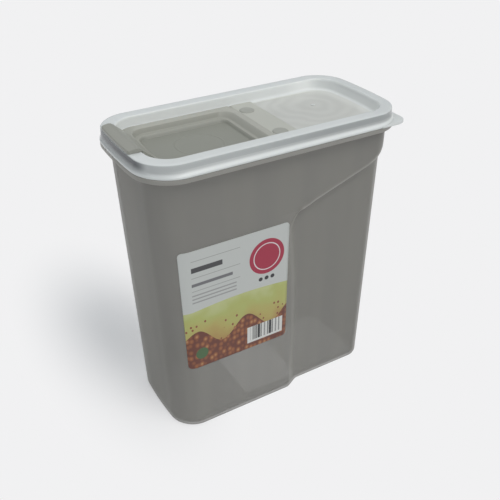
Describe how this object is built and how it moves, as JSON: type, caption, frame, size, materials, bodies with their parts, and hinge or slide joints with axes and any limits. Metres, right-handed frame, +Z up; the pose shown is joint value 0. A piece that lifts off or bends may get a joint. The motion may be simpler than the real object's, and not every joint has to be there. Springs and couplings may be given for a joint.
{
  "type": "cereal container",
  "caption": "Upright cereal container of translucent plastic with a hand recess, a press-on lid and a flip-up pouring flap.",
  "frame": {"origin": "on the base's flat face, straight below the middle of the lid's rim", "axes": "+Z up; +X along the lid towards the hand recess, so the spout is on the -X side; -Y is the face with the label"},
  "size_m": [0.204, 0.1012, 0.2335],
  "materials": {
    "container": "smoky translucent polypropylene, satin gloss",
    "lid": "natural white polypropylene, satin gloss",
    "spout": "grey polypropylene, satin",
    "label": "printed film, satin"
  },
  "bodies": {
    "container": {"container_body": "container", "label": "label"},
    "lid": {"lid": "lid", "hinge_strip": "spout", "living_hinge": "spout"},
    "flap": {"spout_flap": "spout"}
  },
  "joints": [
    {"name": "lid_lift", "type": "slide", "parent": "container", "child": "lid", "axis": [0, 0, 1], "range_m": [0, 0.04]},
    {"name": "flap_hinge", "type": "hinge", "parent": "lid", "child": "flap", "pos_m": [0.003, 0, 0.22325], "axis": [0, 1, 0], "range_deg": [0, 140]}
  ]
}
